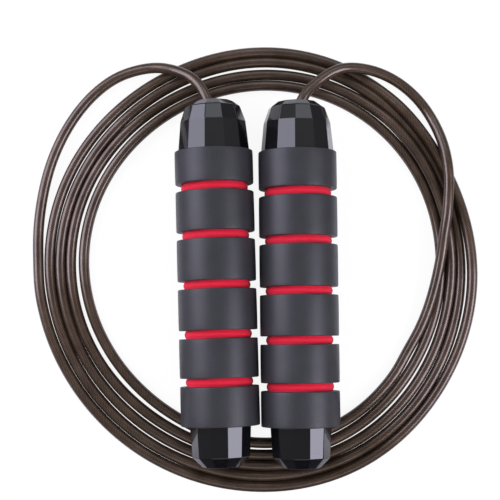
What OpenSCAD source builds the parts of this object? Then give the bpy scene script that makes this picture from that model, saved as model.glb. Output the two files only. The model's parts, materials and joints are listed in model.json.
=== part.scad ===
// Skipping rope with a pair of foam-gripped, ball-bearing handles, stored in a flat coil.
// Millimetres. +Z up, floor at z = 0, handles along Y with the rope leaving them towards +Y.
// The origin is the bottom centre of the pair of handles.

/* [Grip] */
// Outside diameter of the black grip rings
grip_d = 34.8; // [32.5:0.1:40]
// Outside diameter of the red sleeve under the rings
sleeve_d = 29; // [26:0.1:30.5]
// Number of black grip rings
ring_count = 6; // [6:1:6]
// Length of the ring next to the bearing cap
front_ring_len = 15; // [12:0.1:18]
// Length of each other ring
ring_len = 17.6; // [14:0.1:18.5]
// Width of the groove between two rings
groove_w = 3.6; // [2:0.1:4.5]
// Radius on the rings' outer edges
ring_edge_r = 0.9; // [0.3:0.1:1.2]
// Outside diameter of the plastic core tube
core_d = 22; // [22:0.1:24]
// Wall of the core tube
core_wall = 2; // [1.2:0.1:2.5]

/* [Bearing cap] */
// Across the corners of the twelve-sided cap, at the grip
cap_base_d = 32.4; // [31:0.1:33.5]
// Across the corners at the first step
cap_step_d = 29.8; // [28.8:0.1:31]
// Across the corners at the second step
cap_shoulder_d = 25; // [22:0.1:28]
// Across the corners of the flat front
cap_front_d = 18; // [17:0.1:20]
// Height of the first step above the grip
cap_step_h = 13; // [12.6:0.1:15]
// Height of the second step above the grip
cap_shoulder_h = 19.8; // [17:0.1:21]
// Height of the flat front above the grip
cap_h = 22.4; // [22:0.1:26]
// Depth of the core tube's end inside the cap
core_engagement = 5; // [3:0.1:5.3]
// Inside diameter of the lip that stops the outer race
lip_d = 18.4; // [18:0.1:19]
// Thickness of that lip
lip_t = 1.4; // [1:0.1:2]

/* [Ball bearing] */
// Bore of the inner race
bearing_bore = 8; // [8:0.1:8]
// Outside diameter of the outer race
bearing_d = 22; // [21.5:0.1:22]
// Width of the bearing
bearing_w = 7; // [6.6:0.1:7.2]
// Diameter of each ball
ball_d = 3.969; // [3.5:0.001:4]
// Number of balls
ball_count = 7; // [6:1:8]
// Outside diameter of the inner race
inner_race_d = 12.1; // [12:0.1:12.6]
// Inside diameter of the outer race
outer_race_bore = 18; // [17.5:0.1:18]
// Running gap between a ball and its grooves or pocket
ball_gap = 0.05; // [0.02:0.01:0.08]
// Thickness of the two dust shields
shield_t = 0.4; // [0.3:0.1:0.5]
// Width of the ball cage
cage_w = 5.4; // [5:0.1:5.6]
// Radial thickness of the ball cage
cage_t = 1; // [0.8:0.1:1.2]

/* [Rope end] */
// Diameter of the rope
rope_d = 4.8; // [4.2:0.1:5.2]
// Outside diameter of the swivel bush's head
bush_head_d = 12; // [11.8:0.1:12]
// Diameter of the bush's flared mouth
bush_mouth_d = 10.8; // [10:0.1:11]
// Height of the bush's throat above the bearing
throat_h = 2; // [1:0.1:3]
// Gap between the bush's head and the cap around it
head_gap = 0.5; // [0.3:0.1:0.8]
// Gap between the rope and the bush's bore
rope_gap = 0.2; // [0.1:0.05:0.3]
// Thickness of the thrust washer under the bearing
thrust_washer_t = 1; // [0.6:0.1:1.5]
// Outside diameter of the thrust washer
thrust_washer_d = 11.8; // [10:0.1:12]
// Outside diameter of the rope stop
stop_d = 13; // [11:0.1:14]
// Length of the rope stop
stop_len = 9; // [7:0.1:12]
// Diameter of the stop's clamping screw
stop_screw_d = 4; // [3:0.1:5]
// Across the flats of the hexagon key socket in that screw
stop_socket_af = 2; // [1.5:0.1:2]
// Depth of that socket
stop_socket_depth = 1.6; // [1:0.1:1.8]
// Length of rope left below the stop
tail_len = 18; // [5:0.5:40]

/* [End cap] */
// Across the corners of the twelve-sided end cap, at the grip
end_cap_d = 27.6; // [25:0.1:29]
// Across the corners before its chamfer
end_cap_waist_d = 26; // [23:0.1:27]
// Across the corners of its flat end
end_cap_face_d = 16.8; // [14:0.1:20]
// Length of the tapered part
end_cap_taper_len = 13.5; // [10:0.1:16]
// Length of the chamfered part
end_cap_chamfer_len = 4.5; // [3:0.1:6]
// Length of the threaded spigot inside the core tube
spigot_len = 9; // [6:0.1:12]
// Wall of the spigot
spigot_wall = 2.5; // [1.5:0.1:4]
// Depth of the moulded hollow inside the cap's head
end_cap_hollow = 9; // [4:0.1:11]
// Gap between the spigot and the core tube
thread_gap = 0.05; // [0.03:0.01:0.1]
// Thickness of the rubber washer under the end cap
washer_t = 0.8; // [0.5:0.1:1.2]
// Outside diameter of that washer
washer_d = 24; // [22.5:0.1:24.2]

/* [Layout] */
// Gap between the two grips where they are closest
grip_gap = 0.35; // [0.3:0.05:6]
// Where that gap lies, left to right
pair_x = 1.72; // [-5:0.01:5]
// Lower end of the left grip, front to back
left_foot_y = -62.4; // [-66:0.1:-60]
// Lower end of the right grip, front to back
right_foot_y = -62.8; // [-66:0.1:-60]
// Lean of the left handle towards -X at its front
left_lean = 1.6; // [0:0.1:4]
// Lean of the right handle towards -X at its front
right_lean = 0.6; // [0:0.1:1.6]
// Turn of the left bearing cap's facets
left_cap_clock = 18; // [0:1:29]
// Turn of the right bearing cap's facets
right_cap_clock = 26; // [0:1:29]
// Turn of the left end cap's facets
left_end_clock = 14; // [0:1:29]
// Turn of the right end cap's facets
right_end_clock = 15; // [0:1:29]
// Gap between the end caps and the turns of rope below them
rest_gap = 0.3; // [0.2:0.1:1]
// Middle of the coil, left to right
coil_x = 0.2; // [-2:0.1:2]
// Middle of the coil, front to back
coil_y = 7.4; // [6:0.1:9]
// Mean diameter of the coil
coil_mean_d = 177.6; // [176:0.1:200]
// Number of turns side by side in the coil
turn_count = 5; // [4:1:5]

/* [Hidden] */
$fn = 96;
fit = 0.02;            // gap in fixed joints between nested round pieces
race_gap = 0.02;       // radial gap of the bush in the bearing bore
shield_gap = 0.15;     // gap between a shield and the inner race
turn_nest = 0.05;      // how far neighbouring turns press into each other
facets = 12;           // sides of both caps
tube_sides = 10;       // sides of the swept rope
past = 1;              // how far a cut runs past the face that it opens
start_step = 1.5;      // straight length of a run at the throat of its bush

grip_r = grip_d / 2;
rope_r = rope_d / 2;
core_id = core_d - 2 * core_wall;
ring_pitch = ring_len + groove_w;
grip_len = front_ring_len + (ring_count - 1) * ring_pitch;
pitch_d = (bearing_d + bearing_bore) / 2;
bearing_h = grip_len + core_engagement;
bearing_top_h = bearing_h + bearing_w;
throat_z = bearing_top_h + throat_h;
cap_top = grip_len + cap_h;
bush_bore_r = rope_r + rope_gap;
stop_top = bearing_h - thrust_washer_t;
stop_mid = stop_top - stop_len / 2;
tail_end = stop_top - stop_len - tail_len;
end_cap_len = end_cap_taper_len + end_cap_chamfer_len;
spigot_r = core_id / 2 - thread_gap;

// Each handle rests on its front ring and tips up over the rope under its end cap.
tip_rise = max(0, rope_d + rest_gap + end_cap_d / 2 - grip_r);
tip = asin(tip_rise / grip_len);
foot_z = (grip_r - ring_edge_r) * cos(tip) + ring_edge_r + (grip_len - ring_edge_r) * sin(tip);
half_pair = (grip_d + grip_gap) / 2;
left_foot = [pair_x - half_pair, left_foot_y, foot_z];
right_foot = [pair_x + half_pair, right_foot_y, foot_z];

// A point on a handle's axis, a distance along it from the grip's lower end.
function axis_dir(lean) = [-sin(lean) * cos(tip), cos(lean) * cos(tip), -sin(tip)];
function on_axis(foot, lean, along) = foot + along * axis_dir(lean);

// How far each groove sits behind its even place, front to rear, as the rings were pushed on by hand.
left_groove_shift = [-0.3, -0.3, 0.3, 0.7, 0.3];
right_groove_shift = [1.6, 1.6, 2.5, 2.9, 2.1];

// The rope's free runs, from each bush to where the run joins the coil.
left_route = [
    [-20.3, 77.4, 17.2], [-21.6, 81, 17], [-22.8, 83.6, 16.6], [-25.4, 88.4, 15], [-30.2, 93.3, 12],
    [-35.8, 96.2, 9], [-41.6, 97.9, 7.3], [-47.3, 98.4, 5.8], [-55.1, 97.4, 4.2], [-63.4, 94.6, 3],
    [-72.3, 88.6, 2.5], [-80.5, 79.9, 2.4], [-87.3, 69.5, 2.4], [-93.8, 54.5, 2.4], [-97.6, 38.5, 2.4],
    [-99.2, 22.4, 2.4], [-99.1, 11, 2.4]
];
right_route = [
    [18.2, 77, 17.2], [19.5, 80.6, 17], [20.6, 82.6, 16.8], [22.2, 85.4, 16.2], [25.6, 89, 14.2],
    [30.8, 93.4, 12], [37.3, 97, 9.8], [47.7, 97.8, 7.6], [58.9, 94.9, 5.4], [68.1, 89.5, 3.6],
    [75.3, 82.3, 3.2], [80.7, 73.3, 4.8], [84, 64.1, 7.8], [85.6, 56, 10], [86.4, 46.8, 10.3],
    [86.1, 38.2, 10.3], [85.5, 31, 10.2], [84.5, 23.8, 9.2], [83.5, 15.4, 7.6], [81.5, 3.9, 5.9],
    [78.1, -9, 4.5], [73.1, -21.4, 3.2], [67.6, -31.4, 2.4]
];

function unit(v) = v / norm(v);
function route_dir(pts, i) = unit(pts[min(i + 1, len(pts) - 1)] - pts[max(i - 1, 0)]);
function route_side(dir) = unit(cross(dir, [0, 0, 1]));
function route_ring(p, dir, r) =
    let (side = route_side(dir), rise = cross(side, dir))
    [for (k = [0:tube_sides - 1]) let (a = 360 * k / tube_sides) p + r * (cos(a) * side + sin(a) * rise)];

// A closed tube of radius r that is swept along the points.
module swept_tube(pts, r) {
    rings = len(pts);
    verts = [for (i = [0:rings - 1]) each route_ring(pts[i], route_dir(pts, i), r)];
    walls = [for (i = [0:rings - 2], k = [0:tube_sides - 1])
        let (n = (k + 1) % tube_sides, a = i * tube_sides, b = a + tube_sides)
            each [[a + k, a + n, b + n], [a + k, b + n, b + k]]];
    start_face = [[for (k = [tube_sides - 1:-1:0]) k]];
    end_face = [[for (k = [0:tube_sides - 1]) (rings - 1) * tube_sides + k]];
    polyhedron(points = verts, faces = concat(start_face, walls, end_face), convexity = 10);
}

// Puts a handle's own frame, whose Z runs along its axis from the grip's lower end, in its place.
module place(foot, lean) {
    translate(foot) rotate([0, 0, lean]) rotate([-90 - tip, 0, 0]) children();
}
module place_left() { place(left_foot, left_lean) children(); }
module place_right() { place(right_foot, right_lean) children(); }

// A plain tube between two heights.
module tube(r_out, r_in, low, high) {
    difference() {
        translate([0, 0, low]) cylinder(r = r_out, h = high - low);
        translate([0, 0, low - past]) cylinder(r = r_in, h = high - low + 2 * past);
    }
}

// A twelve-sided frustum between two heights, given its sizes across the corners.
module facet_row(d_low, d_high, low, high) {
    translate([0, 0, low]) cylinder(d1 = d_low, d2 = d_high, h = high - low, $fn = facets);
}

// A length of rope inside the handle, through the bush, washer and stop.
module rope_tail() {
    color("#3C302A") translate([0, 0, tail_end]) cylinder(r = rope_r, h = throat_z - tail_end);
}

// The collar that the screw clamps to the rope; it carries the handle's pull.
module rope_stop() {
    color("silver") difference() {
        tube(stop_d / 2, rope_r + fit, stop_top - stop_len, stop_top);
        translate([0, 0, stop_mid]) rotate([0, 90, 0]) cylinder(d = stop_screw_d + 2 * fit, h = stop_d);
    }
}

// The grub screw that clamps the stop to the rope.
module stop_screw() {
    color("dimgray") translate([0, 0, stop_mid]) rotate([0, 90, 0]) difference() {
        translate([0, 0, rope_r + fit]) cylinder(d = stop_screw_d, h = stop_d / 2 - rope_r - fit);
        translate([0, 0, stop_d / 2 - stop_socket_depth])
            cylinder(d = stop_socket_af / cos(30), h = stop_socket_depth + past, $fn = 6);
    }
}

module thrust_washer() {
    color("lightgray") tube(thrust_washer_d / 2, bush_bore_r, stop_top, bearing_h);
}

// The bush that guides the rope through the bearing, with a flared mouth where the rope bends.
module swivel_bush() {
    stem_r = bearing_bore / 2 - race_gap;
    mouth_r = bush_mouth_d / 2;
    flare_h = cap_top - throat_z;
    color("#202024") difference() {
        union() {
            translate([0, 0, bearing_h]) cylinder(r = stem_r, h = bearing_w);
            translate([0, 0, bearing_top_h]) cylinder(d = bush_head_d, h = cap_top - bearing_top_h);
        }
        translate([0, 0, bearing_h - past]) cylinder(r = bush_bore_r, h = cap_top - bearing_h + 2 * past);
        translate([0, 0, throat_z]) cylinder(r1 = bush_bore_r, r2 = mouth_r, h = flare_h);
        translate([0, 0, cap_top]) cylinder(r = mouth_r, h = past);
    }
}

// The ring-shaped groove that the balls roll in.
module ball_groove() {
    translate([0, 0, bearing_h + bearing_w / 2])
        rotate_extrude() translate([pitch_d / 2, 0]) circle(d = ball_d + 2 * ball_gap);
}

module inner_race() {
    color("silver") difference() {
        tube(inner_race_d / 2, bearing_bore / 2, bearing_h, bearing_top_h);
        ball_groove();
    }
}

module outer_race() {
    color("silver") difference() {
        tube(bearing_d / 2, outer_race_bore / 2, bearing_h, bearing_top_h);
        ball_groove();
    }
}

// Calls its children at each ball's place.
module at_balls() {
    for (i = [0:ball_count - 1]) rotate([0, 0, 360 * i / ball_count])
        translate([pitch_d / 2, 0, bearing_h + bearing_w / 2]) children();
}

module bearing_balls() {
    color("white") at_balls() sphere(d = ball_d);
}

module ball_cage() {
    mid = bearing_h + bearing_w / 2;
    color("goldenrod") difference() {
        tube(pitch_d / 2 + cage_t / 2, pitch_d / 2 - cage_t / 2, mid - cage_w / 2, mid + cage_w / 2);
        at_balls() rotate([0, 90, 0]) cylinder(d = ball_d + 2 * ball_gap, h = 3 * cage_t, center = true);
    }
}

// A dust shield between the races, with its lower face at the given height.
module shield(low) {
    color("gray") tube(outer_race_bore / 2 - fit, inner_race_d / 2 + shield_gap, low, low + shield_t);
}

// The faceted cap that holds the bearing's outer race and closes the front of the grip.
module bearing_cap(clock) {
    lip_top = bearing_top_h + lip_t;
    color("#202024") difference() {
        rotate([0, 0, clock]) union() {
            facet_row(cap_base_d, cap_step_d, grip_len, grip_len + cap_step_h);
            facet_row(cap_step_d, cap_shoulder_d, grip_len + cap_step_h, grip_len + cap_shoulder_h);
            facet_row(cap_shoulder_d, cap_front_d, grip_len + cap_shoulder_h, cap_top);
        }
        translate([0, 0, grip_len - past]) cylinder(r = core_d / 2 + fit, h = core_engagement + past);
        translate([0, 0, grip_len]) cylinder(r = bearing_d / 2 + fit, h = bearing_top_h - grip_len);
        translate([0, 0, bearing_top_h - past]) cylinder(d = lip_d, h = lip_t + past);
        translate([0, 0, lip_top - past])
            cylinder(r = bush_head_d / 2 + head_gap, h = cap_top - lip_top + 2 * past);
    }
}

// The stiff tube that the foam is pushed onto; its front end clamps the bearing in the cap.
module core_tube() {
    color("#3A3A40") tube(core_d / 2, core_id / 2, 0, grip_len + core_engagement - fit);
}

module red_sleeve() {
    color("#E02340") tube(sleeve_d / 2, core_d / 2 + fit, 0, grip_len);
}

// Distance from the grip's front to the front edge of the k-th groove.
function groove_start(k, shift) = front_ring_len + (k - 1) * ring_pitch + shift[k - 1];

// One black foam ring with rounded outer edges, counted from the front.
module grip_ring(n, shift) {
    high = n == 1 ? grip_len : grip_len - groove_start(n - 1, shift) - groove_w;
    low = n == ring_count ? 0 : grip_len - groove_start(n, shift);
    inner = sleeve_d / 2 + fit;
    edge = ring_edge_r;
    color("#3C3C42") rotate_extrude() {
        translate([inner, low]) square([grip_r - edge - inner, high - low]);
        translate([inner, low + edge]) square([grip_r - inner, high - low - 2 * edge]);
        translate([grip_r - edge, low + edge]) circle(r = edge);
        translate([grip_r - edge, high - edge]) circle(r = edge);
    }
}

module end_cap_washer() {
    color("black") tube(washer_d / 2, spigot_r + fit, -washer_t, 0);
}

// The faceted cap that screws into the rear of the core tube.
module end_cap(clock) {
    color("#202024") difference() {
        union() {
            rotate([0, 0, clock]) union() {
                facet_row(end_cap_waist_d, end_cap_d, -end_cap_taper_len, 0);
                facet_row(end_cap_face_d, end_cap_waist_d, -end_cap_len, -end_cap_taper_len);
            }
            cylinder(r = spigot_r, h = spigot_len);
        }
        translate([0, 0, -end_cap_hollow])
            cylinder(r = spigot_r - spigot_wall, h = end_cap_hollow + spigot_len + past);
        tube(washer_d / 2 + fit, spigot_r, -washer_t - fit, past);
    }
}

// The flat coil: rings of rope side by side, which lie on the floor.
module rope_coil() {
    turn_pitch = rope_d - turn_nest;
    first_r = coil_mean_d / 2 - (turn_count - 1) * turn_pitch / 2;
    color("#3C302A") translate([coil_x, coil_y, rope_r]) rotate_extrude($fn = 180)
        for (i = [0:turn_count - 1]) translate([first_r + i * turn_pitch, 0]) circle(r = rope_r, $fn = 24);
}

// Two points on a handle's axis, where a run leaves the throat of the bush squarely.
function run_start(foot, lean) = [for (along = [throat_z, throat_z + start_step]) on_axis(foot, lean, along)];

module rope_left_run() {
    color("#3C302A") swept_tube(concat(run_start(left_foot, left_lean), left_route), rope_r);
}

module rope_right_run() {
    color("#3C302A") swept_tube(concat(run_start(right_foot, right_lean), right_route), rope_r);
}

rope_coil();
rope_left_run();
rope_right_run();
place_left() rope_tail();  // left_rope_tail
place_left() rope_stop();  // left_rope_stop
place_left() stop_screw();  // left_stop_screw
place_left() thrust_washer();  // left_thrust_washer
place_left() swivel_bush();  // left_swivel_bush
place_left() inner_race();  // left_inner_race
place_left() outer_race();  // left_outer_race
place_left() bearing_balls();  // left_bearing_balls
place_left() ball_cage();  // left_ball_cage
place_left() shield(bearing_top_h - shield_t);  // left_upper_shield
place_left() shield(bearing_h);  // left_lower_shield
place_left() bearing_cap(left_cap_clock);  // left_bearing_cap
place_left() core_tube();  // left_core_tube
place_left() red_sleeve();  // left_red_sleeve
place_left() grip_ring(1, left_groove_shift);  // left_grip_ring_1
place_left() grip_ring(2, left_groove_shift);  // left_grip_ring_2
place_left() grip_ring(3, left_groove_shift);  // left_grip_ring_3
place_left() grip_ring(4, left_groove_shift);  // left_grip_ring_4
place_left() grip_ring(5, left_groove_shift);  // left_grip_ring_5
place_left() grip_ring(6, left_groove_shift);  // left_grip_ring_6
place_left() end_cap_washer();  // left_end_cap_washer
place_left() end_cap(left_end_clock);  // left_end_cap
place_right() rope_tail();  // right_rope_tail
place_right() rope_stop();  // right_rope_stop
place_right() stop_screw();  // right_stop_screw
place_right() thrust_washer();  // right_thrust_washer
place_right() swivel_bush();  // right_swivel_bush
place_right() inner_race();  // right_inner_race
place_right() outer_race();  // right_outer_race
place_right() bearing_balls();  // right_bearing_balls
place_right() ball_cage();  // right_ball_cage
place_right() shield(bearing_top_h - shield_t);  // right_upper_shield
place_right() shield(bearing_h);  // right_lower_shield
place_right() bearing_cap(right_cap_clock);  // right_bearing_cap
place_right() core_tube();  // right_core_tube
place_right() red_sleeve();  // right_red_sleeve
place_right() grip_ring(1, right_groove_shift);  // right_grip_ring_1
place_right() grip_ring(2, right_groove_shift);  // right_grip_ring_2
place_right() grip_ring(3, right_groove_shift);  // right_grip_ring_3
place_right() grip_ring(4, right_groove_shift);  // right_grip_ring_4
place_right() grip_ring(5, right_groove_shift);  // right_grip_ring_5
place_right() grip_ring(6, right_groove_shift);  // right_grip_ring_6
place_right() end_cap_washer();  // right_end_cap_washer
place_right() end_cap(right_end_clock);  // right_end_cap
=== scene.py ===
"""A skipping rope: two foam-gripped, faceted handles lying on the flat coil of their own rope."""
import json
import math

import bmesh
import bpy
import numpy as np
from mathutils import Matrix, Vector


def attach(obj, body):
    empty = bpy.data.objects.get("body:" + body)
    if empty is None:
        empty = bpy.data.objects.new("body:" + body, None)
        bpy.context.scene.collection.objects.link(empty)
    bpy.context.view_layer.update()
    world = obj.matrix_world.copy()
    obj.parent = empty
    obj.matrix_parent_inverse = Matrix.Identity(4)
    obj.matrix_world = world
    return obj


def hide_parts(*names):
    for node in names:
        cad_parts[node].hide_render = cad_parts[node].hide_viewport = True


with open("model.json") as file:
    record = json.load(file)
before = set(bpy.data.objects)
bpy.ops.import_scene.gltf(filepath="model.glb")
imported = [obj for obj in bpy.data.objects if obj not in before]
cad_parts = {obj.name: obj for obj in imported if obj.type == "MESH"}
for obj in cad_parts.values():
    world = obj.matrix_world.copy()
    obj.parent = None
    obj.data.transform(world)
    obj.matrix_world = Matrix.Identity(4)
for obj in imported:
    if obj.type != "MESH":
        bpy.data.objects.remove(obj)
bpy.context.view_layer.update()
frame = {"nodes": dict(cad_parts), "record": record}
bpy.context.scene.view_settings.view_transform = "Standard"
MM = 0.001

# ---------------------------------------------------------------- camera
CAMERA_AT = Vector((-3.0, -19.75, 605.5)) * MM
CAMERA_TIP = 3.356            # degrees that the camera looks past straight down, towards +Y
CAMERA_LENS = 95.76
SENSOR = 36.0
CLIP_START, CLIP_END = 0.02, 60


def make_camera():
    """A long lens almost straight above the coil."""
    data = bpy.data.cameras.new("camera")
    data.lens = CAMERA_LENS
    data.sensor_width = SENSOR
    data.clip_start = CLIP_START
    data.clip_end = CLIP_END
    cam = bpy.data.objects.new("camera", data)
    cam.location = CAMERA_AT
    cam.rotation_euler = (math.radians(CAMERA_TIP), 0, 0)
    bpy.context.scene.collection.objects.link(cam)
    bpy.context.scene.camera = cam


# ---------------------------------------------------------------- sizes, as in part.scad (mm)
GRIP_R = 17.4
SLEEVE_R = 14.5
CORE_R = 11.0
RING_COUNT = 6
FRONT_RING = 15.0
RING_LEN = 17.6
GROOVE = 3.6
EDGE_R = 0.9
ROPE_D = 4.8
FIT = 0.02                    # kept clear between a dressed piece and what it sits on
RING_PITCH = RING_LEN + GROOVE
GRIP_LEN = FRONT_RING + (RING_COUNT - 1) * RING_PITCH
END_CAP_D = 27.6
END_CAP_LEN = 18.0
END_CAP_TAPER = 13.5
REST_GAP = 0.3                # between the end cap and the rope under it
TIP = math.asin((ROPE_D + REST_GAP + END_CAP_D / 2 - GRIP_R) / GRIP_LEN)
FOOT_Z = (GRIP_R - EDGE_R) * math.cos(TIP) + EDGE_R + (GRIP_LEN - EDGE_R) * math.sin(TIP)
BEARING_TOP = GRIP_LEN + 12.0
THROAT = BEARING_TOP + 2.0    # where the rope leaves its swivel bush
START_STEP = 1.5              # how far it then runs straight on
GRIP_GAP = 0.35
HALF_PAIR = (2 * GRIP_R + GRIP_GAP) / 2
PAIR_X = 1.72
# foot: lower end of the grip's axis; lean: degrees towards -X at the front; cap, end: turn of the
# facets, in degrees; seed: of the foam's unevenness; shift: how much lower each groove sits, front first
HANDLES = {
    "left": {"foot": (PAIR_X - HALF_PAIR, -62.4, FOOT_Z), "lean": 1.6, "cap": 18, "end": 14, "seed": 1,
             "shift": (-0.3, -0.3, 0.3, 0.7, 0.3)},
    "right": {"foot": (PAIR_X + HALF_PAIR, -62.8, FOOT_Z), "lean": 0.6, "cap": 26, "end": 15, "seed": 2,
              "shift": (1.6, 1.6, 2.5, 2.9, 2.1)},
}


def placement(side):
    """The matrix of a handle's own frame: Z along its axis from the grip's lower end, -Y up."""
    h = HANDLES[side]
    shift = Matrix.Translation(Vector(h["foot"]) * MM)
    lean = Matrix.Rotation(math.radians(h["lean"]), 4, "Z")
    return shift @ lean @ Matrix.Rotation(-math.pi / 2 - TIP, 4, "X")


def on_axis(side, along):
    """A point on a handle's axis, in mm."""
    return np.array(placement(side) @ Vector((0, 0, along * MM))) / MM


# ---------------------------------------------------------------- the rope's route
LEFT_ROUTE = [
    (-20.3, 77.4, 17.2), (-21.6, 81, 17), (-22.8, 83.6, 16.6), (-25.4, 88.4, 15), (-30.2, 93.3, 12),
    (-35.8, 96.2, 9), (-41.6, 97.9, 7.3), (-47.3, 98.4, 5.8), (-55.1, 97.4, 4.2), (-63.4, 94.6, 3),
    (-72.3, 88.6, 2.5), (-80.5, 79.9, 2.4), (-87.3, 69.5, 2.4), (-93.8, 54.5, 2.4), (-97.6, 38.5, 2.4),
    (-99.2, 22.4, 2.4), (-99.1, 11, 2.4),
]
RIGHT_ROUTE = [
    (18.2, 77, 17.2), (19.5, 80.6, 17), (20.6, 82.6, 16.8), (22.2, 85.4, 16.2), (25.6, 89, 14.2),
    (30.8, 93.4, 12), (37.3, 97, 9.8), (47.7, 97.8, 7.6), (58.9, 94.9, 5.4), (68.1, 89.5, 3.6),
    (75.3, 82.3, 3.2), (80.7, 73.3, 4.8), (84, 64.1, 7.8), (85.6, 56, 10), (86.4, 46.8, 10.3),
    (86.1, 38.2, 10.3), (85.5, 31, 10.2), (84.5, 23.8, 9.2), (83.5, 15.4, 7.6), (81.5, 3.9, 5.9),
    (78.1, -9, 4.5), (73.1, -21.4, 3.2), (67.6, -31.4, 2.4),
]
COIL_AT = (0.2, 7.4)
COIL_STEP = 30                # degrees between the radii below
COIL_FROM = 330               # where the right run joins the coil; the turns go clockwise
COIL_TURNS = [
    (77.9, 79.5, 78.7, 76.3, 76.5, 78.5, 79.9, 81.2, 83.5, 85.1, 84.8, 83.4),
    (83.0, 84.5, 84.1, 82.1, 82.9, 84.5, 85.6, 86.3, 88.4, 90.0, 88.9, 87.8),
    (88.5, 89.7, 88.9, 87.3, 87.8, 89.3, 90.3, 91.5, 94.2, 94.9, 93.0, 92.3),
    (93.4, 94.6, 93.6, 92.5, 92.7, 94.1, 95.5, 96.5, 98.8, 99.2, 96.4, 97.1),
    (98.2, 99.4, 98.3, 97.4, 97.6, 99.4),
]
FINE_STEP = 6                 # degrees between the route's points
# At the right of the coil two turns lie on those beside them. Angles are degrees from +X.
LIFTED_TURNS = {1: (2.9, 20), 3: (2.9, -2)}   # turn: (mm up, the middle of its way down)
LIFT_FROM, LIFT_FULL = 60, 45                 # where the way up starts and ends
LIFT_FALL = 20                                # half the length of the way down
LIFT_SPAN = (-60, 90)


def spline(knots, values, at):
    """A natural cubic spline through values at knots, read at the places in at."""
    n = len(knots)
    h = np.diff(knots)[:, None]
    slope = np.diff(values, axis=0) / h
    m = np.zeros((n, n))
    rhs = np.zeros_like(values)
    m[0, 0] = m[-1, -1] = 1
    for i in range(1, n - 1):
        m[i, i - 1:i + 2] = h[i - 1, 0], 2 * (h[i - 1, 0] + h[i, 0]), h[i, 0]
        rhs[i] = 6 * (slope[i] - slope[i - 1])
    bend = np.linalg.solve(m, rhs)
    i = np.clip(np.searchsorted(knots, at, side="right") - 1, 0, n - 2)
    t = (at - knots[i])[:, None]
    s = (knots[i + 1] - at)[:, None]
    w = h[i]
    line = (values[i] / w - bend[i] * w / 6) * s + (values[i + 1] / w - bend[i + 1] * w / 6) * t
    return line + (bend[i] * s ** 3 + bend[i + 1] * t ** 3) / (6 * w)


def smooth(x):
    """0 up to 0, 1 from 1 on, and a soft step between them."""
    x = min(1.0, max(0.0, x))
    return x * x * (3 - 2 * x)


def lift(turn, angle):
    """How far a turn is raised where it lies on the turns beside it."""
    up = 0.0
    start, end = LIFT_SPAN
    a = angle if angle <= 180 else angle - 360
    for t, (height, down) in LIFTED_TURNS.items():
        here = turn if a > COIL_FROM - 360 else turn - 1
        if here == t and start < a < end:
            rise = smooth((LIFT_FROM - a) / (LIFT_FROM - LIFT_FULL))
            fall = smooth((a - (down - 2 * LIFT_FALL)) / (2 * LIFT_FALL))
            up += height * min(rise, fall)
    return up


def coil_points():
    """The coil's turns, clockwise from the end of the right run to the end of the left run."""
    radii = np.array([r for turn in COIL_TURNS for r in turn], float)[:, None]
    knots = np.arange(len(radii)) * float(COIL_STEP)
    at = np.arange(FINE_STEP, knots[-1] - FINE_STEP / 2, FINE_STEP)
    points = []
    for turned, (r,) in zip(at, spline(knots, radii, at)):
        angle = (COIL_FROM - turned) % 360
        a = math.radians(angle)
        z = ROPE_D / 2 + lift(int(turned // 360), angle)
        points.append((COIL_AT[0] + r * math.cos(a), COIL_AT[1] + r * math.sin(a), z))
    return points


def run_start(side):
    """The rope's first two points outside a handle, on that handle's axis."""
    return [tuple(on_axis(side, along)) for along in (THROAT, THROAT + START_STEP)]


def rope_line(step):
    """The rope's whole centreline, from the right throat to the left one, in mm."""
    points = run_start("right") + RIGHT_ROUTE + coil_points()
    points += LEFT_ROUTE[::-1] + run_start("left")[::-1]
    p = np.array(points, float)
    along = np.concatenate([[0], np.cumsum(np.linalg.norm(np.diff(p, axis=0), axis=1))])
    at = np.linspace(0, along[-1], int(along[-1] / step) + 1)
    return spline(along, p, at)


# ---------------------------------------------------------------- mesh helpers
def mesh_object(name, verts, faces, uvs=None):
    """A mesh object from points in metres; uvs holds one pair for each face corner."""
    mesh = bpy.data.meshes.new(name)
    mesh.from_pydata([tuple(v) for v in verts], [], faces)
    if uvs is not None:
        layer = mesh.uv_layers.new(name="along")
        layer.data.foreach_set("uv", np.asarray(uvs, np.float32).ravel())
    mesh.shade_smooth()
    mesh.validate()
    obj = bpy.data.objects.new(name, mesh)
    bpy.context.scene.collection.objects.link(obj)
    return obj


def frames_along(line):
    """Side and rise vectors at each point of a line, carried along it without twist."""
    tangent = np.gradient(line, axis=0)
    tangent /= np.linalg.norm(tangent, axis=1)[:, None]
    side = np.cross(tangent[0], (0, 0, 1.0))
    sides = []
    for t in tangent:
        side = side - t * (side @ t)
        side /= np.linalg.norm(side)
        sides.append(side.copy())
    sides = np.array(sides)
    return sides, np.cross(sides, tangent)


def tube(name, line, radius, count):
    """A closed round tube along a line (mm), with u once round it and v in mm along it."""
    sides, rises = frames_along(line)
    turn = np.linspace(0, 2 * math.pi, count, endpoint=False)
    verts = (line[:, None] + radius * (np.cos(turn)[None, :, None] * sides[:, None]
                                       + np.sin(turn)[None, :, None] * rises[:, None]))
    along = np.concatenate([[0], np.cumsum(np.linalg.norm(np.diff(line, axis=0), axis=1))])
    rows = len(line)
    faces, uvs = [], []
    for i in range(rows - 1):
        for k in range(count):
            n = (k + 1) % count
            faces.append((i * count + k, (i + 1) * count + k, (i + 1) * count + n, i * count + n))
            u0, u1 = k / count, (k + 1) / count
            uvs += [(u0, along[i]), (u0, along[i + 1]), (u1, along[i + 1]), (u1, along[i])]
    for row, order in ((0, range(count)), (rows - 1, range(count - 1, -1, -1))):
        faces.append(tuple(row * count + k for k in order))
        uvs += [(k / count, along[row]) for k in order]
    return mesh_object(name, verts.reshape(-1, 3) * MM, faces, uvs)


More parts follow.
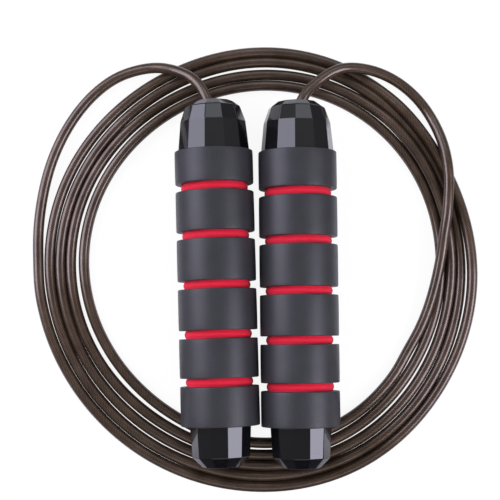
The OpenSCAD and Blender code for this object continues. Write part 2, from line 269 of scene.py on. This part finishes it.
def loft(name, rings, closed=True, cap_ends=False):
    """A mesh through rings of equally many points (mm, handle frame); closed joins last to first."""
    count = len(rings[0])
    rows = len(rings)
    verts = np.array(rings, float).reshape(-1, 3) * MM
    faces = []
    for i in range(rows if closed else rows - 1):
        j = (i + 1) % rows
        for k in range(count):
            n = (k + 1) % count
            faces.append((i * count + k, i * count + n, j * count + n, j * count + k))
    if cap_ends:
        faces.append(tuple(range(count - 1, -1, -1)))
        faces.append(tuple((rows - 1) * count + k for k in range(count)))
    obj = mesh_object(name, verts, faces)
    tidy = bmesh.new()
    tidy.from_mesh(obj.data)
    bmesh.ops.recalc_face_normals(tidy, faces=tidy.faces)
    tidy.to_mesh(obj.data)
    tidy.free()
    return obj


def arc(cx, cy, r, start, end, steps):
    """Points of an arc, start and end in degrees, both included."""
    angles = np.radians(np.linspace(start, end, steps + 1))
    return [(cx + r * math.cos(a), cy + r * math.sin(a)) for a in angles]


FLAT_FACE_WEIGHT = 100


def weighted(obj, angle):
    """Shades the flats flat and the small roundings round; edges sharper than angle stay sharp."""
    obj.data.set_sharp_from_angle(angle=math.radians(angle))
    mod = obj.modifiers.new("flat_faces", "WEIGHTED_NORMAL")
    mod.keep_sharp = True
    mod.weight = FLAT_FACE_WEIGHT
    return obj


# ---------------------------------------------------------------- faceted caps
FACETS = 12
CORNER_R = 0.45               # rounding of the edges between facets, mm
CORNER_POINTS = (-1.6, -0.55, 0.55, 1.6)      # degrees from a corner
FACET_POINTS = (0.2, 0.4, 0.6, 0.8)           # shares of a facet's width
ROW_EDGE_R = 0.4              # rounding of the edges between rows of facets, mm
ROW_EDGE_POINTS = (0.0, 0.34, 0.67, 1.0)      # along that rounding
CAP_SHARP = 50                # degrees; sharper edges than this stay sharp


def facet_angles(clock):
    """Angles of a ring's points: a few round each corner and a few along each facet."""
    half = 180 / FACETS
    angles = []
    for k in range(FACETS):
        corner = clock + k * 2 * half
        angles += [corner + d for d in CORNER_POINTS]
        angles += [corner + 2 * half * f for f in FACET_POINTS]
    return np.radians(angles)


def facet_ring(d, h, clock):
    """A ring on a twelve-sided cap, d across the corners, whose corners are slightly rounded."""
    half = math.pi / FACETS
    corner = d / 2 - CORNER_R * (1 / math.cos(half) - 1) * 2
    out = []
    for a in facet_angles(clock):
        k = round((a - math.radians(clock) - half) / (2 * half))
        off = a - math.radians(clock) - half - 2 * half * k
        r = min(corner, d / 2 * math.cos(half) / math.cos(off))
        out.append((r * math.cos(a), r * math.sin(a), h))
    return out


def round_ring(r, h, clock):
    """A round ring whose points match those of a ring of facets."""
    return [(r * math.cos(a), r * math.sin(a), h) for a in facet_angles(clock)]


def rounded_profile(points, radius):
    """A profile of (d, h) pairs with its inner corners rounded by a few points."""
    out = [points[0]]
    for before, here, after in zip(points, points[1:], points[2:]):
        p, a, b = np.array(here), np.array(before), np.array(after)
        to_a = (a - p) / np.linalg.norm((a - p) * (0.5, 1))
        to_b = (b - p) / np.linalg.norm((b - p) * (0.5, 1))
        for t in ROW_EDGE_POINTS:
            start, end = p + radius * to_a, p + radius * to_b
            out.append(tuple((1 - t) ** 2 * start + 2 * t * (1 - t) * p + t * t * end))
    return out + [points[-1]]


CAP_H = 22.4
# (mm across the corners, mm above the grip); the last one only gives the front's flat its direction
CAP_ROWS = ((32.4, 0), (29.8, 13), (25, 19.8), (18, CAP_H), (13.8, CAP_H))
CAP_MOUTH = ((6.9, 0), (6.6, 0.1), (6.5, 0.4))      # (radius, depth) of the mouth's rounded edge
LIP_R, LIP_T = 9.2, 1.4       # the lip that stops the bearing


def bearing_cap(side):
    """The faceted cap round the bearing, with its bore and the lip inside."""
    clock = HANDLES[side]["cap"]
    rows = [(d, GRIP_LEN + up) for d, up in CAP_ROWS]
    rings = [facet_ring(d, z, clock) for d, z in rounded_profile(rows, ROW_EDGE_R)[:-1]]
    bore = [(r, GRIP_LEN + CAP_H - depth) for r, depth in CAP_MOUTH]
    bore += [(CAP_MOUTH[-1][0], BEARING_TOP + LIP_T), (LIP_R, BEARING_TOP + LIP_T)]
    bore += [(LIP_R, BEARING_TOP), (CORE_R + FIT, BEARING_TOP), (CORE_R + FIT, GRIP_LEN)]
    rings += [round_ring(r, z, clock) for r, z in bore]
    cap = loft(f"{side}_faceted_cap", rings)
    cap.matrix_world = placement(side)
    weighted(cap, CAP_SHARP)
    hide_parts(f"{side}_bearing_cap")
    finish_piece(cap, f"{side}_handle", "cap_plastic")


THREAD_PITCH = 2.0
THREAD_DEPTH = 0.55
THREAD_FROM, THREAD_TO = 1.2, 8.6
THREAD_STEP = 0.2
THREAD_RUNOUT = 0.6           # how far each end of the thread takes to fade, mm
THREAD_FLANK = 1.8            # over 1 leaves a flat at the bottom of the groove
SPIGOT_R = 8.95
SPIGOT_BORE = 6.45
SPIGOT_LEN = 9
SPIGOT_EDGE = 0.35
HOLLOW = 9                    # depth of the hollow in the end cap's head
# (mm across the corners, height); the first only gives the end's flat its direction
END_ROWS = ((2.0, -END_CAP_LEN), (16.8, -END_CAP_LEN), (26, -END_CAP_TAPER), (END_CAP_D, 0), (25.4, 0))
WASHER_R, WASHER_T = 12.02, 0.82                # the seat of the rubber washer, with its play
SEAT_EDGE = 0.05
SPIGOT_FROM = 0.4             # where the spigot is plain, before its thread


def thread_ring(z, clock):
    """A ring of the spigot, cut by one thread that winds round it."""
    out = []
    fade = smooth((z - THREAD_FROM) / THREAD_RUNOUT) * smooth((THREAD_TO - z) / THREAD_RUNOUT)
    for a in facet_angles(clock):
        phase = (z / THREAD_PITCH + a / (2 * math.pi)) % 1
        cut = THREAD_DEPTH * fade * min(1.0, THREAD_FLANK * abs(2 * phase - 1))
        r = SPIGOT_R - cut
        out.append((r * math.cos(a), r * math.sin(a), z))
    return out


def end_cap(side):
    """The screwed cap at the other end, with its washer's seat and its threaded spigot."""
    clock = HANDLES[side]["end"]
    rings = [facet_ring(d, z, clock) for d, z in rounded_profile(END_ROWS, ROW_EDGE_R)[1:]]
    seat = [(WASHER_R, -SEAT_EDGE), (WASHER_R, -WASHER_T), (SPIGOT_R, -WASHER_T), (SPIGOT_R, SPIGOT_FROM)]
    rings += [round_ring(r, z, clock) for r, z in seat]
    rings += [thread_ring(z, clock) for z in np.arange(THREAD_FROM, THREAD_TO, THREAD_STEP)]
    bore = [(SPIGOT_R - SPIGOT_EDGE, SPIGOT_LEN), (SPIGOT_BORE, SPIGOT_LEN), (SPIGOT_BORE, -HOLLOW)]
    rings += [round_ring(r, z, clock) for r, z in bore]
    cap = loft(f"{side}_faceted_end_cap", rings, closed=False, cap_ends=True)
    cap.matrix_world = placement(side)
    weighted(cap, CAP_SHARP)
    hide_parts(f"{side}_end_cap")
    finish_piece(cap, f"{side}_end_cap", "cap_plastic")


# ---------------------------------------------------------------- foam
SEGMENTS = 128
CROWN = 0.06                  # how far a ring's edges fall away from its middle, mm
CROWN_STEPS = 8
FOAM_EDGE = 0.42              # rounding of a ring's outer edges, mm
FOAM_EDGE_STEPS = 6
FOAM_SHARP = 60               # degrees; sharper edges than this stay sharp
RING_SEAT = 0.5               # where a ring's flat end starts, out from its bore, mm
RING_MARGIN = 0.3             # and where it stops, in from its rounded edge
UNEVEN = 0.03                 # how far a ring's skin wanders, mm
SEED_STEP = 10                # each handle's rings count on from its own multiple of this
SKIN_FROM = SLEEVE_R + 0.4    # only what is further out than this wanders
WAVES = (2, 3, 5, 8)          # round the ring
WAVE_SHARE = (0.3, 1)         # random size of each, divided by its number
WAVE_TWIST = 0.11             # radians for each mm of height
SWELL, SWELL_SINK = 0.70, 0.35                # the red sleeve's rise in a groove, and where it starts
GROOVE_STEPS = 6
SLEEVE_END = 0.1


def lathe(name, profile, wobble=0.0, seed=0):
    """A closed round piece from (r, z) pairs, whose outer skin may wander slightly."""
    rng = np.random.default_rng(seed)
    waves = [(n, rng.uniform(0, 2 * math.pi), rng.uniform(*WAVE_SHARE) / n) for n in WAVES]
    rings = []
    for r, z in profile:
        ring = []
        for k in range(SEGMENTS):
            a = 2 * math.pi * k / SEGMENTS
            off = sum(g * math.sin(n * a + p + WAVE_TWIST * z * n) for n, p, g in waves)
            here = r + (wobble * off if r > SKIN_FROM else 0)
            ring.append((here * math.cos(a), here * math.sin(a), z))
        rings.append(ring)
    return loft(name, rings)


def groove(side, k):
    """The two ends of the k-th groove from the front, as heights on the handle."""
    start = GRIP_LEN - FRONT_RING - (k - 1) * RING_PITCH - HANDLES[side]["shift"][k - 1]
    return start - GROOVE, start


def foam_ring(side, n):
    """The n-th black ring from the front, faintly crowned, with rounded edges."""
    high = GRIP_LEN if n == 1 else groove(side, n - 1)[0]
    low = 0 if n == RING_COUNT else groove(side, n)[1]
    inner = SLEEVE_R + FIT
    outer = GRIP_R - CROWN
    edge = outer - FOAM_EDGE
    profile = [(inner, low), (inner + RING_SEAT, low), (edge - RING_MARGIN, low)]
    profile += arc(edge, low + FOAM_EDGE, FOAM_EDGE, -90, 0, FOAM_EDGE_STEPS)
    for t in np.linspace(0, 1, CROWN_STEPS + 1)[1:-1]:
        z = low + FOAM_EDGE + t * (high - low - 2 * FOAM_EDGE)
        profile.append((outer + CROWN * (1 - (2 * t - 1) ** 4), z))
    profile += arc(edge, high - FOAM_EDGE, FOAM_EDGE, 0, 90, FOAM_EDGE_STEPS)
    profile += [(edge - RING_MARGIN, high), (inner + RING_SEAT, high), (inner, high)]
    seed = SEED_STEP * HANDLES[side]["seed"] + n
    ring = lathe(f"{side}_foam_ring_{n}", profile, UNEVEN, seed)
    ring.matrix_world = placement(side)
    ring.data.set_sharp_from_angle(angle=math.radians(FOAM_SHARP))
    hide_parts(f"{side}_grip_ring_{n}")
    finish_piece(ring, f"{side}_handle", "black_foam")


def foam_sleeve(side):
    """The red sleeve, which swells very slightly in the grooves between the rings."""
    inner = CORE_R + FIT
    profile = [(inner, 0), (SLEEVE_R - SLEEVE_END, 0)]
    for k in range(RING_COUNT - 1, 0, -1):
        low = groove(side, k)[0]
        for t in np.linspace(0, 1, GROOVE_STEPS + 1):
            swell = SWELL * math.sin(math.pi * t) - SWELL_SINK
            profile.append((SLEEVE_R + swell, low + t * GROOVE))
    profile += [(SLEEVE_R - SLEEVE_END, GRIP_LEN), (inner, GRIP_LEN)]
    sleeve = lathe(f"{side}_foam_sleeve", profile)
    sleeve.matrix_world = placement(side)
    sleeve.data.set_sharp_from_angle(angle=math.radians(FOAM_SHARP))
    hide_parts(f"{side}_red_sleeve")
    finish_piece(sleeve, f"{side}_handle", "red_foam")


# ---------------------------------------------------------------- the rope
ROPE_STEP = 1.5               # mm between the tube's rings
ROPE_SIDES = 24


def rope():
    """The whole free rope, one tube from the right handle to the left one."""
    line = rope_line(ROPE_STEP)
    piece = tube("coiled_rope", line, ROPE_D / 2, ROPE_SIDES)
    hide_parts("rope_coil", "rope_left_run", "rope_right_run")
    finish_piece(piece, "rope", "rope")


def finish_piece(piece, body, slot_name):
    """Puts a piece on its body and gives it its slot's material."""
    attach(piece, body)
    piece.data.materials.clear()
    piece.data.materials.append(MATERIALS[slot_name])


# ---------------------------------------------------------------- materials
class Nodes:
    """Short forms for building the node tree of a material or of the world."""

    def __init__(self, owner, main):
        """Takes a material or a world, and the name of its main node."""
        owner.use_nodes = True
        self.owner = owner
        self.tree = owner.node_tree
        self.main = self.tree.nodes[main]

    def put(self, socket, value):
        """Links a socket to another one, or gives it a value."""
        if isinstance(value, bpy.types.NodeSocket):
            self.tree.links.new(value, socket)
        else:
            socket.default_value = value

    def math(self, operation, a, b=0.0):
        """The result of a Math node."""
        node = self.tree.nodes.new("ShaderNodeMath")
        node.operation = operation
        self.put(node.inputs[0], a)
        self.put(node.inputs[1], b)
        return node.outputs[0]

    def noise(self, scale, detail=3.0, rough=0.6, vector=None):
        """Noise in the piece's own space, with scale in cells per metre."""
        node = self.tree.nodes.new("ShaderNodeTexNoise")
        node.inputs["Scale"].default_value = scale
        node.inputs["Detail"].default_value = detail
        node.inputs["Roughness"].default_value = rough
        if vector is None:
            vector = self.coordinate("Object")
        self.put(node.inputs["Vector"], vector)
        return node.outputs["Fac"]

    def coordinate(self, kind):
        """Texture coordinates of one kind."""
        return self.tree.nodes.new("ShaderNodeTexCoord").outputs[kind]

    def ramp(self, fac, stops):
        """A colour ramp; stops are (place, colour) pairs."""
        node = self.tree.nodes.new("ShaderNodeValToRGB")
        elements = node.color_ramp.elements
        while len(elements) < len(stops):
            elements.new(0.5)
        for element, (place, colour) in zip(elements, stops):
            element.position = place
            element.color = colour if len(colour) == 4 else (*colour, 1)
        self.put(node.inputs["Fac"], fac)
        return node.outputs["Color"]

    def spread(self, fac, low, high, start=0.0, end=1.0):
        """low where fac is start or less, high where it is end or more, and in between a straight line."""
        node = self.tree.nodes.new("ShaderNodeMapRange")
        self.put(node.inputs["Value"], fac)
        node.inputs["From Min"].default_value = start
        node.inputs["From Max"].default_value = end
        node.inputs["To Min"].default_value = low
        node.inputs["To Max"].default_value = high
        return node.outputs["Result"]

    def split(self, vector):
        """The X, Y and Z of a vector."""
        node = self.tree.nodes.new("ShaderNodeSeparateXYZ")
        self.put(node.inputs[0], vector)
        return node.outputs

    def blend(self, fac, a, b):
        """a where fac is 0 and b where it is 1."""
        node = self.tree.nodes.new("ShaderNodeMix")
        self.put(node.inputs[0], fac)
        self.put(node.inputs[2], a)
        self.put(node.inputs[3], b)
        return node.outputs[0]

    def rays(self, *kinds):
        """1 for rays of any of these kinds."""
        outputs = self.tree.nodes.new("ShaderNodeLightPath").outputs
        total = outputs[kinds[0]]
        for kind in kinds[1:]:
            total = self.math("MAXIMUM", total, outputs[kind])
        return total

    def bump(self, height, distance, strength=1.0):
        """A normal bent by height, with distance in metres."""
        node = self.tree.nodes.new("ShaderNodeBump")
        node.inputs["Strength"].default_value = strength
        node.inputs["Distance"].default_value = distance
        self.put(node.inputs["Height"], height)
        return node.outputs["Normal"]

    def set(self, **inputs):
        """Sets the main node's inputs, with _ for each space in their names; returns the owner."""
        for key, value in inputs.items():
            self.put(self.main.inputs[key.replace("_", " ")], value)
        return self.owner


def material_nodes(name):
    """The nodes of a new material with a Principled shader."""
    return Nodes(bpy.data.materials.new(name), "Principled BSDF")


ROPE_LAY = 15.0               # mm of rope in which a wire goes round once
ROPE_WIRES = 14
WIRE_SHARE, PATCH_SHARE, FLECK_SHARE = 0.32, 0.48, 0.20
# where in the mixed shade each colour lies, and the colour
ROPE_SHADES = ((0.20, (0.045, 0.030, 0.020)), (0.50, (0.130, 0.095, 0.069)), (0.80, (0.290, 0.236, 0.194)))


def rope_material():
    """Clear brown jacket over a strand of fine steel wires, laid at an angle."""
    n = material_nodes("rope")
    uv = n.tree.nodes.new("ShaderNodeUVMap")
    uv.uv_map = "along"
    parts = n.split(uv.outputs[0])
    turn = n.math("ADD", parts["X"], n.math("DIVIDE", parts["Y"], ROPE_LAY))
    wave = n.math("SINE", n.math("MULTIPLY", turn, 2 * math.pi * ROPE_WIRES))
    wave01 = n.spread(wave, 0.0, 1.0, start=-1.0)
    patch = n.noise(scale=90.0, detail=2.0)
    fleck = n.noise(scale=900.0, detail=2.0)
    shade = n.math("ADD", n.math("MULTIPLY", wave01, WIRE_SHARE), n.math("MULTIPLY", patch, PATCH_SHARE))
    shade = n.math("ADD", shade, n.math("MULTIPLY", fleck, FLECK_SHARE))
    return n.set(Base_Color=n.ramp(shade, ROPE_SHADES), Metallic=0.60, Roughness=0.40,
                 Normal=n.bump(wave01, distance=0.00010, strength=0.22), Coat_Weight=0.9, Coat_Roughness=0.18,
                 Coat_IOR=1.53, Coat_Tint=(0.46, 0.37, 0.31, 1), Specular_IOR_Level=0.4,
                 Specular_Tint=(0.35, 0.30, 0.26, 1))


# shades: dark, middle and light colour; grain: pores per metre; depth: their depth in metres
FOAMS = {
    "black_foam": {"shades": ((0.020, 0.020, 0.023), (0.027, 0.027, 0.031), (0.037, 0.037, 0.043)),
                   "rough": 0.42, "sheen": 0.02, "tint": (0.8, 0.8, 0.95, 1),
                   "grain": 1500.0, "depth": 0.00008},
    "red_foam": {"shades": ((0.70, 0.007, 0.030), (0.82, 0.010, 0.040), (0.90, 0.018, 0.055)),
                 "rough": 0.80, "sheen": 0.20, "tint": (1, 0.35, 0.4, 1),
                 "grain": 1900.0, "depth": 0.00030},
    "washer_rubber": {"shades": ((0.012, 0.012, 0.012), (0.018, 0.018, 0.018), (0.028, 0.028, 0.028)),
                      "rough": 0.65, "sheen": 0.1, "tint": (1, 1, 1, 1),
                      "grain": 1800.0, "depth": 0.00008},
}
FOAM_SHADES_AT = (0.3, 0.5, 0.72)
MOTTLE_SHARE, PORE_SHARE, FINE_SHARE = 0.55, 0.45, 0.5
FINE_GRAIN = 3.1              # the fine pores' scale beside the pores' own


def foam_material(name, shades, rough, sheen, tint, grain, depth):
    """Closed-cell foam: a faint mottle, fine pores and a soft sheen."""
    n = material_nodes(name)
    mottle = n.noise(scale=70.0, detail=4.0)
    pores = n.noise(grain, detail=2.0, rough=0.7)
    fine = n.noise(grain * FINE_GRAIN, detail=1.0, rough=0.5)
    mix = n.math("ADD", n.math("MULTIPLY", mottle, MOTTLE_SHARE), n.math("MULTIPLY", pores, PORE_SHARE))
    colour = n.ramp(mix, list(zip(FOAM_SHADES_AT, shades)))
    height = n.math("ADD", pores, n.math("MULTIPLY", fine, FINE_SHARE))
    return n.set(Base_Color=colour, Roughness=n.spread(pores, rough - 0.06, rough + 0.08),
                 Normal=n.bump(height, depth, strength=0.5), Sheen_Weight=sheen, Sheen_Roughness=0.5,
                 Sheen_Tint=tint, Specular_IOR_Level=0.38)


PLASTICS = {   # base colour, roughness, clear coat
    "cap_plastic": ((0.0045, 0.0045, 0.006), 0.10, 0.9),
    "core_plastic": ((0.03, 0.03, 0.034), 0.4, 0.0),
}
DIM_PLASTIC, LIT_PLASTIC = 0.75, 1.35         # the mottle's ends, as shares of the base colour


def plastic_material(name, base, rough, coat):
    """Moulded plastic: near-black, with a faint flow mottle and fine handling marks."""
    n = material_nodes(name)
    flow = n.noise(scale=55.0, detail=3.0)
    marks = n.noise(scale=1400.0, detail=2.0)
    dim = tuple(DIM_PLASTIC * c for c in base)
    lit = tuple(LIT_PLASTIC * c for c in base)
    colour = n.ramp(flow, [(0.3, dim), (0.5, base), (0.75, lit)])
    return n.set(Base_Color=colour, Roughness=n.spread(marks, rough, rough + 0.06),
                 Normal=n.bump(flow, distance=0.00002, strength=0.25), Coat_Weight=coat, Coat_Roughness=0.04,
                 Coat_IOR=1.5, Specular_IOR_Level=0.2)


METALS = {     # base colour, roughness, scale of the marks
    "stop_metal": ((0.75, 0.75, 0.76), 0.25, 900),
    "screw_steel": ((0.12, 0.12, 0.13), 0.35, 900),
    "bearing_steel": ((0.62, 0.63, 0.65), 0.18, 1200),
    "ball_steel": ((0.80, 0.81, 0.83), 0.08, 400),
    "cage_brass": ((0.70, 0.48, 0.18), 0.3, 900),
}
DIM_METAL = 0.7               # the marks' colour, as a share of the base colour
MARK_SQUASH = (1, 6, 1)       # draws the marks out round the axis


def metal_material(name, base, rough, scale):
    """Turned or rolled metal with fine marks round its axis."""
    n = material_nodes(name)
    mapping = n.tree.nodes.new("ShaderNodeMapping")
    mapping.inputs["Scale"].default_value = MARK_SQUASH
    n.put(mapping.inputs["Vector"], n.coordinate("Object"))
    marks = n.noise(scale, detail=4.0, rough=0.6, vector=mapping.outputs[0])
    dim = tuple(DIM_METAL * c for c in base)
    colour = n.ramp(marks, [(0.3, dim), (0.7, base)])
    return n.set(Base_Color=colour, Metallic=1.0, Roughness=n.spread(marks, rough, rough + 0.15),
                 Normal=n.bump(marks, distance=0.00001, strength=0.3))


def make_materials():
    """One material for each slot, for the pieces made here and the CAD nodes that stay."""
    materials = {"rope": rope_material()}
    for name, look in FOAMS.items():
        materials[name] = foam_material(name, **look)
    for name, look in PLASTICS.items():
        materials[name] = plastic_material(name, *look)
    for name, look in METALS.items():
        materials[name] = metal_material(name, *look)
    return materials


def dress_nodes():
    """Every CAD node that stays gets its slot's procedural material."""
    for part in frame["record"]["subparts"]:
        node = frame["nodes"].get(part["node"])
        slot_name = part.get("material_slot")
        if node is None or slot_name not in MATERIALS:
            continue
        for holder in node.material_slots:
            holder.material = MATERIALS[slot_name]


# ---------------------------------------------------------------- studio
SOFTBOXES = [
    # name, degrees to the right of straight up, degrees towards +Y, roll, width, length, strength, colour
    ("left_softbox", -58.8, 35.9, -14, 1.10, 1.12, 2.8, (0.96, 0.94, 1.18)),
    ("left_strip", -52, 5, 0, 0.90, 0.34, 1.8, (0.96, 0.94, 1.10)),
    ("right_softbox", 51, -22, 0, 0.74, 0.84, 4.7, (0.96, 0.94, 1.13)),
    ("rear_card", 13, 50, 0, 0.75, 0.45, 0.87, (0.95, 1.0, 1.08)),
    ("front_card", 0, -48, 0, 1.30, 0.50, 0.8, (1.0, 0.97, 0.92)),
]
LAMP_FAR = 1.3                # metres from the middle of the object
LAMP_POWER = 4                # watts for each square metre at a strength of 1


def softbox(name, across, ahead, roll, width, length, strength, colour):
    """A flat lamp that faces the object."""
    data = bpy.data.lights.new(name, "AREA")
    data.shape = "RECTANGLE"
    data.size = width
    data.size_y = length
    data.energy = strength * LAMP_POWER * width * length
    data.color = colour
    lamp = bpy.data.objects.new(name, data)
    back = Vector((math.tan(math.radians(across)), math.tan(math.radians(ahead)), 1)).normalized()
    length_axis = (Vector((0, 1, 0)) - back * back.y).normalized()
    width_axis = length_axis.cross(back)
    turned = Matrix((width_axis, length_axis, back)).transposed().to_4x4()
    lamp.matrix_world = (Matrix.Translation(back * LAMP_FAR) @ turned
                         @ Matrix.Rotation(math.radians(roll), 4, "Z"))
    bpy.context.scene.collection.objects.link(lamp)


WORLD_DIFFUSE = 0.48
WORLD_GLOSSY = 0.20
REAR_GLOW = 0.28
REAR_Y, REAR_Z = (0.1, 0.45), (0.25, 0.5)     # between these parts of a direction the glow comes in


def make_world():
    """Even light on all sides; glossy things see it dim, with a soft glow at the upper rear."""
    world = bpy.data.worlds.new("studio")
    bpy.context.scene.world = world
    n = Nodes(world, "Background")
    parts = n.split(n.coordinate("Generated"))
    rear = n.math("MULTIPLY", n.spread(parts["Y"], 0.0, REAR_GLOW, *REAR_Y),
                  n.spread(parts["Z"], 0.0, 1.0, *REAR_Z))
    glossy = n.math("ADD", rear, WORLD_GLOSSY)
    strength = n.blend(n.rays("Is Glossy Ray", "Is Transmission Ray"), WORLD_DIFFUSE, glossy)
    strength = n.blend(n.rays("Is Camera Ray"), strength, 1.0)
    n.set(Color=(1, 1, 1, 1), Strength=strength)


FLOOR_HALF = 6.0
PAPER = 0.9                   # the floor's own white, as light falls on it
PAPER_SEEN = 0.11             # and as the camera sees it, which leaves only a faint shadow
CAMERA_GLOW = 0.91            # what makes it white there, to the camera
GLOSSY_GLOW = 0.14            # and to glossy and transmission rays
TABLE_NEAR, TABLE_FAR = 0.09, 0.20      # metres from the middle; glossy things see it fade between them
TABLE_FRONT = (-0.102, -0.072)          # and here towards the front
TABLE_DIM = 0.12              # what is left of it where it has faded


def table_top(n):
    """1 near the object; for glossy and transmission rays it dims further off, as past a table's edge."""
    where = n.coordinate("Object")
    length = n.tree.nodes.new("ShaderNodeVectorMath")
    length.operation = "LENGTH"
    n.put(length.inputs[0], where)
    around = n.spread(length.outputs["Value"], 1.0, TABLE_DIM, TABLE_NEAR, TABLE_FAR)
    front = n.spread(n.split(where)["Y"], TABLE_DIM, 1.0, *TABLE_FRONT)
    seen = n.math("MULTIPLY", around, front)
    return n.blend(n.rays("Is Glossy Ray", "Is Transmission Ray"), 1.0, seen)


def make_floor():
    """A white floor that keeps a faint shadow of the object."""
    f = FLOOR_HALF
    floor = mesh_object("floor", [(-f, -f, 0), (f, -f, 0), (f, f, 0), (-f, f, 0)], [(0, 1, 2, 3)])
    n = Nodes(bpy.data.materials.new("floor"), "Material Output")
    n.tree.nodes.remove(n.tree.nodes["Principled BSDF"])
    near = table_top(n)
    camera = n.rays("Is Camera Ray")
    glossy = n.math("MULTIPLY", n.rays("Is Glossy Ray", "Is Transmission Ray"), near)
    paper = n.tree.nodes.new("ShaderNodeBsdfDiffuse")
    white = n.blend(camera, n.math("MULTIPLY", near, PAPER), PAPER_SEEN)
    n.put(paper.inputs["Color"], n.ramp(white, [(0.0, (0, 0, 0)), (1.0, (1, 1, 1))]))
    glow = n.tree.nodes.new("ShaderNodeEmission")
    n.put(glow.inputs["Color"], (1, 1, 1, 1))
    n.put(glow.inputs["Strength"], n.blend(camera, n.math("MULTIPLY", glossy, GLOSSY_GLOW), CAMERA_GLOW))
    both = n.tree.nodes.new("ShaderNodeAddShader")
    n.put(both.inputs[0], paper.outputs[0])
    n.put(both.inputs[1], glow.outputs[0])
    floor.data.materials.append(n.set(Surface=both.outputs[0]))


# ---------------------------------------------------------------- build
make_camera()
MATERIALS = make_materials()
rope()
for hand in HANDLES:
    bearing_cap(hand)
    end_cap(hand)
    foam_sleeve(hand)
    for number in range(1, RING_COUNT + 1):
        foam_ring(hand, number)
dress_nodes()
make_floor()
make_world()
for box in SOFTBOXES:
    softbox(*box)
